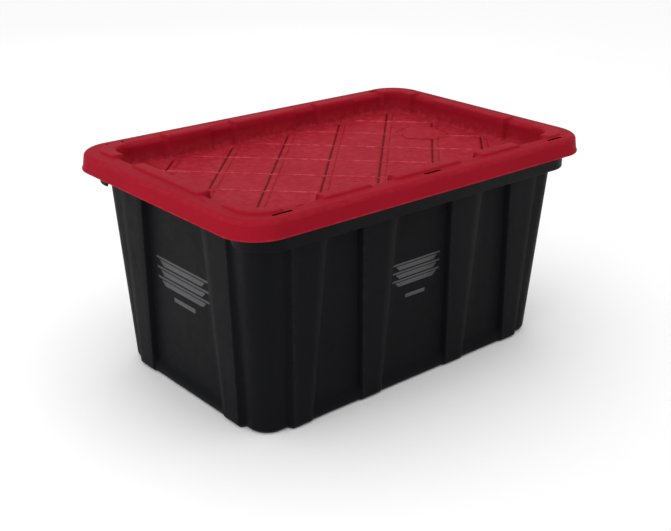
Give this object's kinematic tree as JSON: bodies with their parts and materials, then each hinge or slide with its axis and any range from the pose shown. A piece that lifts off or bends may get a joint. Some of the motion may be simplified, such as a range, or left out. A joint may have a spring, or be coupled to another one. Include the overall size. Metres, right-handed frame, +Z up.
{
  "type": "stackable storage bin",
  "caption": "Rectangular drafted storage bin with panelled walls and a snap lid whose deep recess and raised pads seat another bin on top.",
  "frame": {"origin": "middle of the bin's footprint, on the floor under its base", "axes": "+X along the long side, +Y across it, +Z up"},
  "size_m": [0.777, 0.518, 0.392],
  "materials": {
    "tub_plastic": "near-black moulded polypropylene, low sheen",
    "lid_plastic": "deep red moulded polypropylene, soft sheen",
    "mark_film": "dark grey hot-stamped film"
  },
  "bodies": {
    "tub": {"tub": "tub_plastic", "mark_front": "mark_film", "mark_back": "mark_film", "mark_left": "mark_film", "mark_right": "mark_film"},
    "lid": {"lid": "lid_plastic"}
  },
  "joints": [
    {"name": "lid_lift", "type": "slide", "parent": "tub", "child": "lid", "axis": [0, 0, 1], "range_m": [0, 0.12]}
  ]
}
